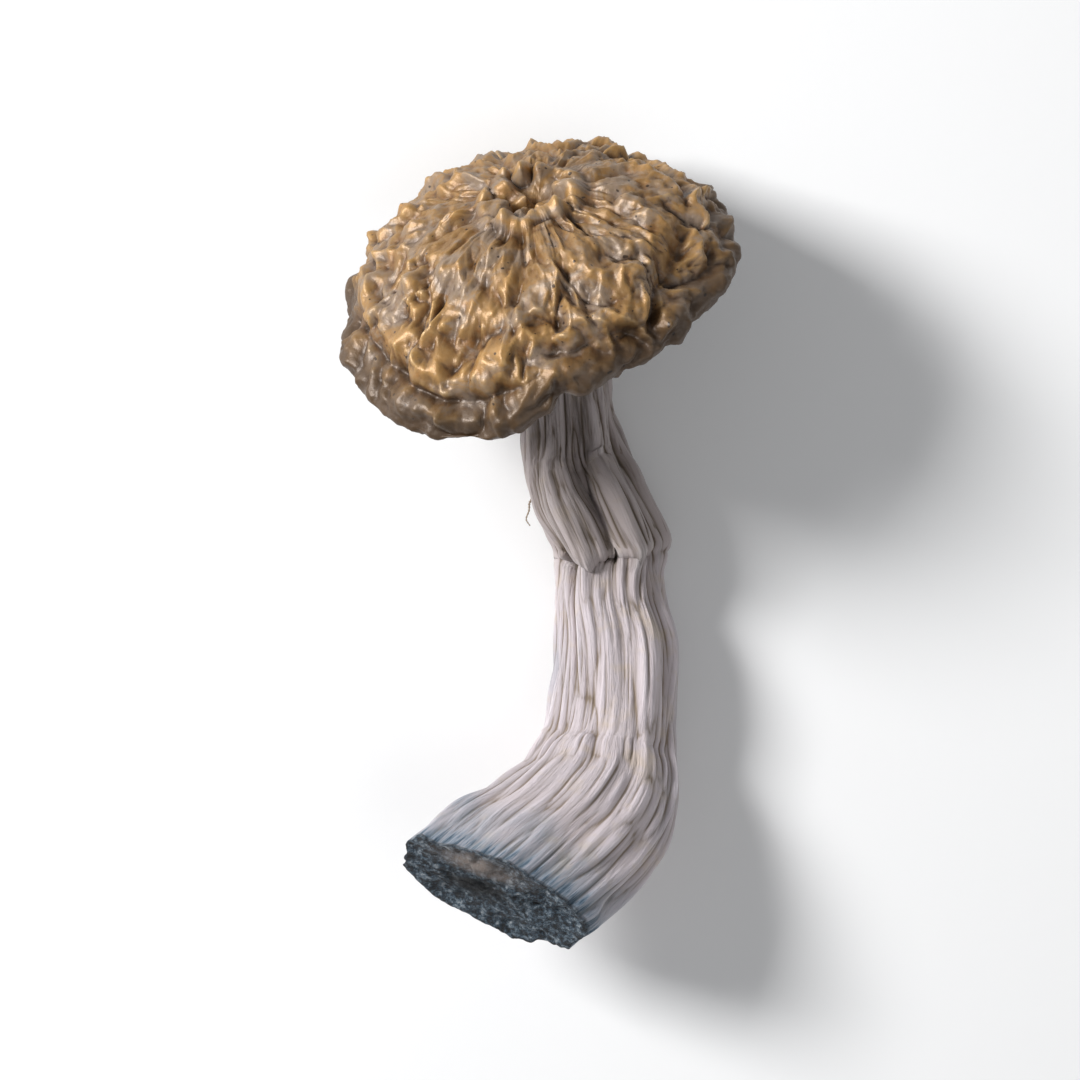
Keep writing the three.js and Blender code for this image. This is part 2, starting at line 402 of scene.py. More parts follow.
def plain_cap(skin_rows, roof_rows, columns):
    """The cap's uncrumpled grid, with its radius and height in every row."""
    outline = cap_outline(skin_rows, roof_rows)
    angle = np.arange(columns) / columns * FULL_TURN
    radius, height = outline[:, :1], outline[:, 1:]
    return cap_surface(angle + 0 * radius, radius + 0 * angle, height + 0 * angle), outline


def frame_offset():
    """The rim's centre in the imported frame, from the cap's box there and the plain cap's own box."""
    plain, _ = plain_cap(60, 4, 120)
    low = plain.min(axis=(0, 1)) * MM
    corner = np.array(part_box("cap")[0])
    return np.array([corner[0] - low[0], corner[1] - low[1], -low[2] - FLAT_DEPTH * MM])


# ---- The stem's plain surface ----
def neck_point(height):
    """A point on the cap's axis, moved with the dimple."""
    return DIMPLE_SHIFT[0] * ALONG_RIM + DIMPLE_SHIFT[1] * ACROSS_RIM + height * CAP_AXIS


def stem_paths(table):
    """The stem's centre line and its half width, half depth and heading, as rows for spline."""
    stations = np.array(STATIONS)
    height = table - FLAT_DEPTH + stations[:, 2] + stations[:, 4]
    lying = np.column_stack([stations[:, :2], height])
    neck = [neck_point(roof_height(NECK_RADIUS) - JOIN_GAP), neck_point(-NECK_LENGTH)]
    round_neck = [[NECK_RADIUS, NECK_RADIUS, math.degrees(CAP_HEADING)]] * 2
    return np.concatenate([neck, lying]), np.concatenate([round_neck, stations[:, 3:]])


# Swells and dents of the shrunken stem: place along it in path points, angle round it, reach along,
# reach round in degrees, and height in millimetres. 270 degrees is the top as it lies, 180 its left.
STEM_SWELLS = (
    (3.6, 228, 1.3, 32, 0.75),
    (4.75, 222, 0.35, 36, 0.55),
    (3.7, 274, 1.1, 11, -2.9),
    (2.6, 283, 0.28, 12, -1.5),
    (4.4, 322, 0.9, 24, 0.35),
    (5.35, 270, 0.16, 70, -0.7),
    (2.9, 350, 0.6, 25, 0.5),
    (11.0, 312, 0.3, 24, -0.5),
    (10.4, 238, 0.5, 13, -0.35),
    (12.6, 290, 1.3, 10, -0.5),
    (12.8, 250, 1.4, 9, -0.4),
    (14.8, 345, 0.3, 12, 0.8),
)


def swell(along, angle):
    """The summed height of the stem's swells: a bell round each place."""
    return sum(
        height * bell(along, place, reach_along) * round_bell(angle, degrees, reach_round)
        for place, degrees, reach_along, reach_round, height in STEM_SWELLS
    )


def plain_stem(rows, columns, table):
    """The stem's uncrumpled grid: sections swept along the centre line, each level along its heading."""
    centres, sections = stem_paths(table)
    last = len(centres) - 1
    fine = np.linspace(0, last, 400)
    reached = walked(spline(centres, fine))[:, 0]
    along = np.interp(np.linspace(0, reached[-1], rows), reached, fine)
    centre = spline(centres, along)
    step = 0.02
    ahead = spline(centres, np.minimum(along + step, last)) - spline(centres, np.maximum(along - step, 0))
    size = spline(sections, along)
    heading = np.radians(size[:, 2])
    wide = np.stack([np.cos(heading), np.sin(heading), 0 * heading], axis=1)
    deep = np.cross(wide, ahead)
    deep = deep / lengths(deep)
    angle = np.arange(columns) / columns * FULL_TURN + math.pi / 2
    raised = swell(along[:, None], angle[None, :])
    across = (size[:, :1] + raised) * np.cos(angle)
    upward = (size[:, 1:2] + raised) * np.sin(angle)
    grid = centre[:, None] + across[..., None] * wide[:, None] + upward[..., None] * deep[:, None]
    return grid, along, angle


def cut_face(rim, rows, depth, seed):
    """Rows from the stem's last ring in to its middle, roughened like torn sponge by depth."""
    middle = rim.mean(axis=0)
    normal = np.cross(rim[len(rim) // 4] - middle, rim[0] - middle)
    normal = normal / np.linalg.norm(normal)
    share = (1 - np.arange(1, rows + 1) / (rows + 0.5))[:, None, None]
    face = middle + (rim - middle) * share
    coarse = noise(face, 2.6, seed)
    fine = noise(face, 0.8, seed + 1) + 0.5 * noise(face, 0.35, seed + 2)
    edge = smoothstep(0, 0.12, 1 - share[..., 0])
    return face + normal * (depth * edge * (coarse + 0.5 * fine) - 0.4 * depth * edge)[..., None]


# ---- The finished grids ----
def settle_cap(wrinkling):
    """The crumpled cap: the plain cap, sunk a little and raised by its folds and the dimple's lumps.

    The folds are sharp-edged facets whose places a coarser field of facets shifts: long pleats round
    the dimple, shorter folds outside them and flat ledges at the rim. A lump is the size of a noise.
    """
    plain, outline = plain_cap(CAP_ROWS, ROOF_ROWS, CAP_COLUMNS)
    radius, height = outline[:, :1], outline[:, 1:]
    angle = np.arange(CAP_COLUMNS)[None, :] / CAP_COLUMNS * FULL_TURN
    down = walked(outline)
    coarse = round_about(angle, SHIFT_CELLS, down / SHIFT_LENGTH)
    shift = np.stack([facets(coarse, 1.0, seed) for seed in SHIFT_SEEDS], axis=-1)
    outer = smoothstep(*FOLD_RADII, radius)
    raised = crumples(angle, down, PLEAT_SHIFT * shift, PLEATS) * (1 - 0.8 * outer)
    raised = raised + crumples(angle, down, PLEAT_SHIFT * shift, FOLDS) * (0.15 + 0.85 * outer)
    raised = raised + crumples(angle, down, LEDGE_SHIFT * shift, LEDGES) * smoothstep(*LEDGE_RADII, radius)
    raised = smoothstep(*PLEAT_RADII, radius) * raised
    raised = raised + sum(high * facets(plain, size, seed) for size, high, seed in CRINKLES)
    lumps = LUMP_HEIGHT * np.abs(noise(plain, LUMP_SIZE, LUMP_SEED)) + LUMP_LIFT
    lumps = (1 - smoothstep(*LUMP_RADII, radius)) * lumps
    size, high, seed = CRUMBS
    lumps = lumps + (1 - smoothstep(*CRUMB_RADII, radius)) * high * facets(plain, size, seed)
    curl = 1 - 0.5 * smoothstep(1.5, -0.8, height)
    rows_left = CAP_ROWS - np.arange(CAP_ROWS + ROOF_ROWS)[:, None]
    hold = np.clip(rows_left / (0.05 * CAP_ROWS), 0, 1)
    raised = wrinkling * FOLD_HEIGHT * raised * curl + lumps - SKIN_SINK
    return plain + grid_normals(plain) * (hold * raised)[..., None], plain, outline


def settle_stem(pleating, table):
    """The pleated stem: long rounded pleats with sharp valleys, from the size of a stretched noise.

    The plain stem's two bends are softened first. Facets are added to the pleats, mostly above the
    pinch, where the flesh is crushed.
    """
    plain, along, angle = plain_stem(STEM_ROWS, STEM_COLUMNS, table)
    place = along[:, None] + 0 * angle
    left = 0.65 + 0.35 * np.cos(angle - math.radians(200))
    bends = bell(place, NECK_BEND, 0.8) + left * bell(place, KNEE, 1.0)
    plain = plain + bends[..., None] * (soften(plain, 200) - plain)
    down = walked(plain.mean(axis=1))
    upper = 1 - smoothstep(PINCH - 0.25, PINCH + 0.25, place)
    gathered = bell(place, PINCH + 0.45, 0.9)
    foot = smoothstep(KNEE - 0.4, KNEE + 0.8, place)
    raised = (0.25 + 0.75 * upper) * (1 - 0.5 * foot) * crumples(angle, down, 0, CRUSHED)
    for cells, length, height, if_gathered, if_upper, if_foot, seed in STEM_PLEATS:
        height = height + if_gathered * gathered + if_upper * upper + if_foot * foot
        pleats = np.abs(noise(round_about(angle, cells, down / length), 1.0, seed))
        raised = raised + height * (pleats - PLEAT_LEVEL)
    raised = smoothstep(0, 1, place) * (pleating * raised - STEM_SINK)
    return plain + grid_normals(plain) * raised[..., None], plain, along, angle


def relief_of(grid, plain, reach):
    """How far each point stands out of its surroundings, in millimetres, from reach rounds of averaging."""
    out = np.sum((grid - plain) * grid_normals(plain), axis=-1, keepdims=True)
    return (out - soften(out, reach))[..., 0]


# ---- Meshes and materials ----
def place_grid(name, grid, offset):
    """A closed mesh object from a grid in millimetres, whose columns close and whose ends are fans."""
    rows, columns = grid.shape[:2]
    points = grid * MM + offset
    points[..., 2] = np.maximum(points[..., 2], 0)
    ends = np.stack([points[0].mean(axis=0), points[-1].mean(axis=0)])
    vertices = np.concatenate([points.reshape(-1, 3), ends])
    row = np.arange(rows - 1)[:, None] * columns
    column = np.arange(columns)[None, :]
    following = (column + 1) % columns
    quads = np.stack(
        [row + column, row + columns + column, row + columns + following, row + following], axis=-1
    )
    side = np.arange(columns)
    after = (side + 1) % columns
    first = rows * columns
    bottom = (rows - 1) * columns
    caps = np.concatenate([
        np.stack([np.full(columns, first), side, after], axis=-1),
        np.stack([bottom + after, bottom + side, np.full(columns, first + 1)], axis=-1),
    ])
    mesh = bpy.data.meshes.new(name)
    fill_mesh(mesh, vertices, quads.reshape(-1, 4), caps)
    piece = bpy.data.objects.new(name, mesh)
    bpy.context.collection.objects.link(piece)
    return piece


def fill_mesh(mesh, vertices, quads, triangles):
    """Puts arrays of vertices, quads and triangles into a mesh, smooth shaded."""
    mesh.vertices.add(len(vertices))
    mesh.vertices.foreach_set("co", vertices.astype(np.float32).ravel())
    corners = np.concatenate([quads.ravel(), triangles.ravel()]).astype(np.int32)
    mesh.loops.add(len(corners))
    mesh.loops.foreach_set("vertex_index", corners)
    starts = np.concatenate([
        np.arange(len(quads)) * 4,
        len(quads) * 4 + np.arange(len(triangles)) * 3,
    ]).astype(np.int32)
    mesh.polygons.add(len(starts))
    mesh.polygons.foreach_set("loop_start", starts)
    mesh.update(calc_edges=True)
    mesh.validate()
    mesh.shade_smooth()


def paint(piece, name, values):
    """Stores one number at every vertex under name, for the materials to read."""
    column = np.zeros(len(piece.data.vertices), np.float32)
    column[: values.size] = values.ravel()
    piece.data.attributes.new(name, "FLOAT", "POINT").data.foreach_set("value", column)


def linear(hex_colour):
    """A linear colour from sRGB hex digits."""
    parts = np.array([int(hex_colour[i:i + 2], 16) / 255 for i in (0, 2, 4)])
    parts = np.where(parts <= 0.04045, parts / 12.92, ((parts + 0.055) / 1.055) ** 2.4)
    return (*parts.tolist(), 1.0)


def add_node(tree, kind, output=0, stops=(), **values):
    """Adds a node and returns one of its outputs.

    Lower-case values are the node's own settings and the others its inputs, by name with _ for a
    space or by _number, each set to a value or linked to a socket. Stops fill a colour ramp, each
    with its place and its linear colour.
    """
    node = tree.nodes.new(kind)
    for key, value in values.items():
        if key[0].islower():
            setattr(node, key, value)
    for key, value in values.items():
        if key[0].islower():
            continue
        socket = node.inputs[int(key[1:])] if key[0] == "_" else node.inputs[key.replace("_", " ")]
        if isinstance(value, bpy.types.NodeSocket):
            tree.links.new(value, socket)
        else:
            socket.default_value = value
    if stops:
        elements = node.color_ramp.elements
        while len(elements) < len(stops):
            elements.new(0.5)
        for element, (place, colour) in zip(elements, stops):
            element.position = place
            element.color = colour
    return node.outputs[output] if node.outputs else node


def new_material(name):
    """An empty node material: the material, its node tree and its shader's inputs."""
    material = bpy.data.materials.new(name)
    material.use_nodes = True
    tree = material.node_tree
    tree.nodes.clear()
    surface = add_node(tree, "ShaderNodeBsdfPrincipled")
    add_node(tree, "ShaderNodeOutputMaterial", Surface=surface)
    return material, tree, surface.node.inputs


def cap_material(skin, ridge, hollow):
    """Dried cap skin: a thin cuticle shrunk tight, so it shines like satin, golden with grey patches that
    are partly painted sheen, with painted shade in the creases and under the rim and a painted highlight
    along the ridges' edges.
    """
    material, tree, inputs = new_material("dried_cap_skin")
    place = add_node(tree, "ShaderNodeTexCoord", "Object")
    relief = add_node(tree, "ShaderNodeAttribute", "Fac", attribute_name="relief")
    crease = add_node(tree, "ShaderNodeAttribute", "Fac", attribute_name="crease")
    rim = add_node(tree, "ShaderNodeAttribute", "Fac", attribute_name="rim")
    # The relief ramp darkens the hollows and lightens the ridges: partly the skin's own orange-brown folds
    # and golden ridges, partly painted shade in the hollows and painted light on the ridges. Its darkest
    # stop is painted shade.
    lift = add_node(tree, "ShaderNodeMapRange", Value=relief, From_Min=-0.6, From_Max=0.6)
    tone = add_node(
        tree, "ShaderNodeValToRGB", Fac=lift,
        stops=[(0.1, linear("3C2613")), (0.35, hollow), (0.5, skin), (0.75, ridge)],
    )
    shares = {
        # Painted shade in the creases, over the skin's own darker crease colour.
        "folds": add_node(
            tree, "ShaderNodeMapRange", Value=crease, From_Min=-0.015, From_Max=-0.12, To_Max=0.85
        ),
        "edges": add_node(
            # Painted highlight along the ridges' edges, over their lighter golden colour.
            tree, "ShaderNodeMapRange", Value=crease, From_Min=0.03, From_Max=0.16, To_Max=0.4
        ),
        # Painted shade on the rim's underside.
        "rim": add_node(tree, "ShaderNodeMapRange", Value=rim, To_Max=0.9),
    }
    # Patches: size in millimetres, the noise where one starts and is full, its most, detail, distortion.
    for name, size, low, high, most, detail, distortion in (
        ("orange", 2.0, 0.58, 0.72, 0.35, 3, 0.0),
        # The grey patches are partly the skin's own grey tint, partly painted sheen.
        ("grey_tint_and_sheen", 3.0, 0.47, 0.6, 0.65, 5, 0.8),
        ("dull", 0.35, 0.3, 0.75, 0.45, 4, 0.0),
        ("specks", 0.55, 0.8, 0.82, 0.85, 0, 0.0),
    ):
        field = add_node(
            tree, "ShaderNodeTexNoise", Vector=place, Scale=1 / (size * MM), Detail=detail, Roughness=0.6,
            Distortion=distortion,
        )
        shares[name] = add_node(
            tree, "ShaderNodeMapRange", Value=field, From_Min=low, From_Max=high, To_Max=most
        )
    # Folds and rim lay painted shade, edges a painted highlight, the grey patches a grey tint with painted
    # sheen; orange, dull and specks are the skin's own colour.
    for name, colour in (
        ("orange", "A56F35"), ("grey_tint_and_sheen", "857A73"), ("dull", "8A7350"), ("folds", "3A2410"),
        ("edges", "CDAA74"), ("rim", "463423"), ("specks", "2A1C12"),
    ):
        tone = add_node(
            tree, "ShaderNodeMix", 2, data_type="RGBA", _0=shares[name], _6=tone, _7=linear(colour)
        )
    tree.links.new(tone, inputs["Base Color"])
    satin = add_node(tree, "ShaderNodeMapRange", Value=shares["dull"], To_Min=0.42, To_Max=0.54)
    tree.links.new(satin, inputs["Roughness"])
    inputs["Metallic"].default_value = 0.2
    inputs["Specular IOR Level"].default_value = 0.6
    shaken = add_node(tree, "ShaderNodeTexNoise", "Color", Vector=place, Scale=1 / (0.9 * MM), Detail=2)
    bent = add_node(
        tree, "ShaderNodeVectorMath", operation="MULTIPLY_ADD", _0=shaken, _1=(0.8 * MM,) * 3, _2=place
    )
    crinkles = add_node(tree, "ShaderNodeTexVoronoi", Vector=bent, Scale=1 / (0.6 * MM))
    pores = add_node(tree, "ShaderNodeTexNoise", Vector=place, Scale=1 / (0.12 * MM), Detail=2)
    normal = add_node(tree, "ShaderNodeBump", Height=crinkles, Distance=0.03 * MM, Strength=1)
    normal = add_node(tree, "ShaderNodeBump", Height=pores, Distance=0.02 * MM, Strength=1, Normal=normal)
    tree.links.new(normal, inputs["Normal"])
    return material


def stem_material(flesh, bruise):
    """Dried stem flesh: matt white fibres, yellow in the valleys, soiled above with painted shade round the
    pinch, painted shade in the valleys and creases, bruised blue by handling.
    """
    material, tree, inputs = new_material("dried_stem_flesh")
    place = add_node(tree, "ShaderNodeTexCoord", "Object")
    unrolled = add_node(tree, "ShaderNodeUVMap", uv_map="fibres")
    drawn = add_node(tree, "ShaderNodeMapping", Vector=unrolled, Scale=(1, 0.07, 1))
    painted = {
        name: add_node(tree, "ShaderNodeAttribute", "Fac", attribute_name=name)
        for name in ("relief", "crease", "soil_and_shade", "bruise", "cut", "pith")
    }
    fibres = add_node(
        tree, "ShaderNodeTexNoise", Vector=drawn, Scale=1 / (0.26 * MM), Detail=5, Roughness=0.65
    )
    stains = add_node(
        tree, "ShaderNodeTexNoise", Vector=drawn, Scale=1 / (0.9 * MM), Detail=4, Roughness=0.6
    )
    clouds = add_node(tree, "ShaderNodeTexNoise", Vector=place, Scale=1 / (3 * MM), Detail=3, Roughness=0.6)
    sponge = add_node(
        tree, "ShaderNodeTexNoise", Vector=place, Scale=1 / (0.6 * MM), Detail=8, Roughness=0.78
    )
    # Shares of the colours laid on: what each follows, the value where it starts and is full, its most.
    shares = {
        name: add_node(
            tree, "ShaderNodeMapRange", Value=field, From_Min=low, From_Max=high, To_Min=least, To_Max=most
        )
        for name, field, low, high, least, most in (
            ("streaks", fibres, 0.35, 0.7, 0, 0.3),
            ("yellow", clouds, 0.54, 0.7, 0, 0.3),
            # The valleys and the crease lines are partly the flesh's own ochre, partly painted shade in the
            # pleats' valleys.
            ("valleys", painted["relief"], 0, -0.45, 0, 1),
            ("crease_lines_and_shade", painted["crease"], -0.004, -0.045, 0, 0.75),
            ("blots", stains, 0.5, 0.66, 0, 0.8),
            ("broken", fibres, 0.3, 0.65, 0.35, 1),
            ("heart", painted["pith"], 0, -0.8, 0, 0.92),
        )
    }
    # Brown in the soiled top's valleys, crease lines and blots: partly real soiling, partly painted shade in
    # the crevices.
    soiled = add_node(
        tree, "ShaderNodeMath", operation="MAXIMUM", _0=shares["valleys"], _1=shares["crease_lines_and_shade"]
    )
    soiled = add_node(tree, "ShaderNodeMath", operation="MAXIMUM", _0=soiled, _1=shares["blots"])
    for name, first, second in (
        ("brown", painted["soil_and_shade"], soiled),
        ("soil_and_shade_wash", painted["soil_and_shade"], 0.6),
        ("blue", painted["bruise"], shares["broken"]),
        ("pith", painted["pith"], 0.85),
    ):
        shares[name] = add_node(tree, "ShaderNodeMath", operation="MULTIPLY", _0=first, _1=second)
    shares["navy"] = add_node(
        tree, "ShaderNodeMapRange", Value=shares["blue"], From_Min=0.6, From_Max=0.95, To_Max=0.85
    )
    shares["cut"] = painted["cut"]
    inside = add_node(
        tree, "ShaderNodeValToRGB", Fac=sponge,
        stops=[
            (0.39, linear("080B0F")), (0.47, linear("1E2A36")), (0.53, linear("4F6678")),
            (0.59, linear("94A1AC")), (0.66, linear("D8DCDF")),
        ],
    )
    for name, colour in (("pith", "B0A096"), ("heart", "06080B")):
        inside = add_node(
            tree, "ShaderNodeMix", 2, data_type="RGBA", _0=shares[name], _6=inside, _7=linear(colour)
        )
    # The relief ramp darkens the valleys and lightens the crests: partly the flesh's own tone, partly
    # painted shade in the valleys and painted light on the crests.
    lift = add_node(tree, "ShaderNodeMapRange", Value=painted["relief"], From_Min=-0.5, From_Max=0.35)
    tone = add_node(
        tree, "ShaderNodeValToRGB", Fac=lift,
        stops=[
            (0, linear("65584C")), (0.3, linear("A89A8E")), (0.5, linear("BDB2B4")), (0.72, flesh),
            (1, linear("EAE4E8")),
        ],
    )
    # The wash and the brown lay soil and painted shade over the stem's top and round the pinch; streaks,
    # yellow, blue, navy and cut are the flesh's own colour.
    for name, colour in (
        ("streaks", linear("B8ABA6")), ("yellow", linear("CDB68C")), ("crease_lines_and_shade", linear("7D6C58")),
        ("soil_and_shade_wash", linear("8F8279")), ("brown", linear("40321F")), ("blue", bruise),
        ("navy", linear("2B3D4F")), ("cut", inside),
    ):
        tone = add_node(tree, "ShaderNodeMix", 2, data_type="RGBA", _0=shares[name], _6=tone, _7=colour)
    tree.links.new(tone, inputs["Base Color"])
    inputs["Roughness"].default_value = 0.7
    inputs["Specular IOR Level"].default_value = 0.35
    inputs["Sheen Weight"].default_value = 0.15
    threads = add_node(
        tree, "ShaderNodeTexNoise", Vector=drawn, Scale=1 / (0.1 * MM), Detail=3, Roughness=0.6
    )
    torn = add_node(tree, "ShaderNodeMath", operation="MULTIPLY", _0=painted["cut"], _1=sponge)
    normal = add_node(tree, "ShaderNodeBump", Height=fibres, Distance=0.22 * MM, Strength=1)
    normal = add_node(tree, "ShaderNodeBump", Height=threads, Distance=0.08 * MM, Strength=1, Normal=normal)
    normal = add_node(tree, "ShaderNodeBump", Height=torn, Distance=0.9 * MM, Strength=1, Normal=normal)
    tree.links.new(normal, inputs["Normal"])
    return material


def gill_material(colour):
    """Dried gills: thin matt blades, dark purplish brown from the spores, with paler dusty edges."""
    material, tree, inputs = new_material("dried_gills")
    place = add_node(tree, "ShaderNodeTexCoord", "Object")
    edge = add_node(tree, "ShaderNodeAttribute", "Fac", attribute_name="edge")
    dust = add_node(tree, "ShaderNodeTexNoise", Vector=place, Scale=1 / (0.4 * MM), Detail=4, Roughness=0.6)
    pale = add_node(tree, "ShaderNodeMath", operation="MULTIPLY", _0=edge, _1=0.6)
    shade = add_node(tree, "ShaderNodeMapRange", Value=dust, From_Min=0.35, From_Max=0.75, To_Max=0.7)
    tone = add_node(
        tree, "ShaderNodeMix", 2, data_type="RGBA", _0=shade, _6=colour, _7=linear("2E221F")
    )
    tone = add_node(tree, "ShaderNodeMix", 2, data_type="RGBA", _0=pale, _6=tone, _7=linear("8C7A6E"))
    tree.links.new(tone, inputs["Base Color"])
    inputs["Roughness"].default_value = 0.8
    normal = add_node(tree, "ShaderNodeBump", Height=dust, Distance=0.06 * MM, Strength=1)
    tree.links.new(normal, inputs["Normal"])
    return material


def fibre_material():
    """A torn strand of dried veil: pale brown and matt, like coarse thread."""
    material, tree, inputs = new_material("torn_veil_fibre")
    place = add_node(tree, "ShaderNodeTexCoord", "Object")
    strands = add_node(tree, "ShaderNodeTexNoise", Vector=place, Scale=1 / (0.15 * MM), Detail=3)
    tone = add_node(
        tree, "ShaderNodeMix", 2, data_type="RGBA", _0=strands, _6=linear("6E5F52"), _7=linear("B8A998")
    )
    tree.links.new(tone, inputs["Base Color"])
    inputs["Roughness"].default_value = 0.8
    normal = add_node(tree, "ShaderNodeBump", Height=strands, Distance=0.03 * MM, Strength=1)
    tree.links.new(normal, inputs["Normal"])
    return material


def floor_material(colour):
    """A plain pale table: matt paint, with a barely visible unevenness."""
    material, tree, inputs = new_material("pale_table")
    place = add_node(tree, "ShaderNodeTexCoord", "Object")
    inputs["Base Color"].default_value = colour
    inputs["Roughness"].default_value = 0.9
    unevenness = add_node(tree, "ShaderNodeTexNoise", Vector=place, Scale=1 / (2 * MM))
    normal = add_node(tree, "ShaderNodeBump", Height=unevenness, Distance=0.01 * MM, Strength=1)
    tree.links.new(normal, inputs["Normal"])
    return material


def finish_piece(piece, material, slot, *nodes):
    """Gives a piece its material, has it ride on the one body and stand for its CAD nodes. The slot is not
    used.
    """
    piece.data.materials.append(material)
    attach(piece, "root")
    if nodes:
        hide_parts(*nodes)


# ---- What a user can change ----
class MushroomCap(bpy.types.PropertyGroup):
    wrinkling: bpy.props.FloatProperty(
        name="Wrinkling", description="Height of the cap's folds, 1 as grown", default=1, min=0, max=1.4
    )
    skin: bpy.props.FloatVectorProperty(
        name="Skin", description="Colour of the skin", default=linear("8A6639"), size=4, subtype="COLOR"
    )
    # The ridge and fold colours are partly the skin's own, partly painted light on the ridges and painted
    # shade in the folds.
    ridge: bpy.props.FloatVectorProperty(
        name="Ridges", description="Colour on the ridges", default=linear("A87D45"), size=4, subtype="COLOR"
    )
    hollow: bpy.props.FloatVectorProperty(
        name="Folds", description="Colour in the folds", default=linear("70491F"), size=4, subtype="COLOR"
    )


class MushroomStem(bpy.types.PropertyGroup):
    pleating: bpy.props.FloatProperty(
        name="Pleating", description="Height of the stem's pleats, 1 as grown", default=1, min=0, max=1.4
    )
    flesh: bpy.props.FloatVectorProperty(
        name="Flesh", description="Colour of the stem", default=linear("D4CACF"), size=4, subtype="COLOR"
    )
    bruise: bpy.props.FloatVectorProperty(
        name="Bruises", description="Colour of the bruises", default=linear("567A90"), size=4,
        subtype="COLOR",
    )


class MushroomGills(bpy.types.PropertyGroup):
    count: bpy.props.IntProperty(
        name="Blades", description="Number of full-length blades", default=60, min=12
    )
    thickness: bpy.props.FloatProperty(
        name="Thickness", description="Thickness of one blade", default=0.16 * MM,
        unit="LENGTH", subtype="DISTANCE", precision=5,
    )
    colour: bpy.props.FloatVectorProperty(
        name="Colour", description="Colour of the gills", default=linear("4C3832"), size=4, subtype="COLOR"
    )


class MushroomStage(bpy.types.PropertyGroup):
    key_power: bpy.props.FloatProperty(
        name="Key light", description="Power of the main light", default=3.2, unit="POWER"
    )
    table: bpy.props.FloatVectorProperty(
        name="Table", description="Colour of the table", default=(0.9, 0.9, 0.9, 1), size=4, subtype="COLOR"
    )


# ---- The pieces ----
class AddCap(bpy.types.Operator):
    """Adds the crumpled cap, from its dimple to the flesh over the gills"""

    bl_idname = "mushroom.cap"
    bl_label = "Cap"

    def execute(self, context):
        settings = context.scene.mushroom_cap
        grid, plain, outline = settle_cap(settings.wrinkling)
        piece = place_grid("crumpled_cap", grid, frame_offset())
        paint(piece, "relief", relief_of(grid, plain, 60))
        paint(piece, "crease", relief_of(grid, plain, 5))
        radius, height = outline[:, :1], outline[:, 1:]
        # Painted shade of the rim: it grows down the side, and leaves out the dimple.
        past_crown = np.arange(len(radius))[:, None] >= np.argmax(radius > 10)
        paint(piece, "rim", smoothstep(4.4, 0.8, height) * past_crown + np.zeros(grid.shape[:2]))
        colours = [tuple(colour) for colour in (settings.skin, settings.ridge, settings.hollow)]
        finish_piece(piece, cap_material(*colours), "cap_skin", "cap")
        return {"FINISHED"}


class AddStem(bpy.types.Operator):
    """Adds the pleated stem with its pinch, its knee and the torn cut at its foot"""

    bl_idname = "mushroom.stem"
    bl_label = "Stem"

    def execute(self, context):
        settings = context.scene.mushroom_stem
        offset = frame_offset()
        grid, plain, along, angle = settle_stem(settings.pleating, -offset[2] / MM)
        face = cut_face(grid[-1], CUT_ROWS, CUT_DEPTH, CUT_SEED)
        whole = np.concatenate([grid, face])
        piece = place_grid("pleated_stem", whole, offset)
        place = along[:, None] + 0 * angle
        wander = noise(grid, 3.5, 31)
        # Soil, with painted shade round the pinch's gathers, fades out down the stem, from just above the
        # pinch to nearly half way to the knee.
        soil_and_shade = 0.9 * (1 - smoothstep(4.6, 7.5, place + 0.8 * wander))
        bare = np.zeros(face.shape[:2])
        for name, side, end in (
            ("relief", relief_of(grid, plain, 50), bare),
            ("crease", relief_of(grid, plain, 6), bare),
            ("soil_and_shade", soil_and_shade, bare),
            ("bruise", self.bruises(place, angle, wander), bare + 1),
            ("cut", smoothstep(CUT - 0.07, CUT, place), bare + 1),
            ("pith", 0 * place, self.streak(face, *PITH) - self.streak(face, *DARK_HEART)),
        ):
            paint(piece, name, np.concatenate([side, end]))
        self.lay_fibres(piece, whole)
        material = stem_material(tuple(settings.flesh), tuple(settings.bruise))
        finish_piece(piece, material, "stem_flesh", "stem")
        return {"FINISHED"}

    def streak(self, face, middle, long, wide):
        """A soft streak on the cut: one bell along its heading times another across it."""
        right, up = face[..., 0] - middle[0], face[..., 1] - middle[1]
        along = STREAK_HEADING[0] * right + STREAK_HEADING[1] * up
        across = STREAK_HEADING[0] * up - STREAK_HEADING[1] * right
        return bell(along, 0, long) * bell(across, 0, wide)

    def bruises(self, place, angle, wander):
        """How blue each point is: a band above the cut and faint patches on both sides of the shaft."""
        faint = smoothstep(13.2, 14.6, place + 0.5 * wander)
        strong = smoothstep(14.45, 14.95, place + 0.15 * wander)
        total = 0.45 * faint + 0.55 * strong
        for where, degrees, reach_along, reach_round, depth in BRUISES:
            patch = bell(place, where, reach_along) * round_bell(angle, degrees, reach_round)
            total = total + depth * patch * (0.6 + 0.8 * wander)
        return np.clip(total, 0, 1)

    def lay_fibres(self, piece, grid):
        """A UV map in metres: once round the stem in u, with the seam underneath, and along it in v."""
        rows, columns = grid.shape[:2]
        reached = walked(grid.mean(axis=1))[:, 0]
        corners = np.zeros(len(piece.data.loops), np.int32)
        piece.data.loops.foreach_get("vertex_index", corners)
        row = np.minimum(corners // columns, rows - 1)
        share = corners % columns / columns
        starts = np.zeros(len(piece.data.polygons), np.int32)
        piece.data.polygons.foreach_get("loop_start", starts)
        sizes = np.diff(np.append(starts, len(corners)))
        lowest = np.repeat(np.minimum.reduceat(share, starts), sizes)
        highest = np.repeat(np.maximum.reduceat(share, starts), sizes)
        share = share + ((highest - lowest > 0.5) & (share < 0.5))
        places = np.stack([share * STEM_GIRTH, reached[row]], axis=-1) * MM
        layer = piece.data.uv_layers.new(name="fibres")
        layer.data.foreach_set("uv", places.astype(np.float32).ravel())


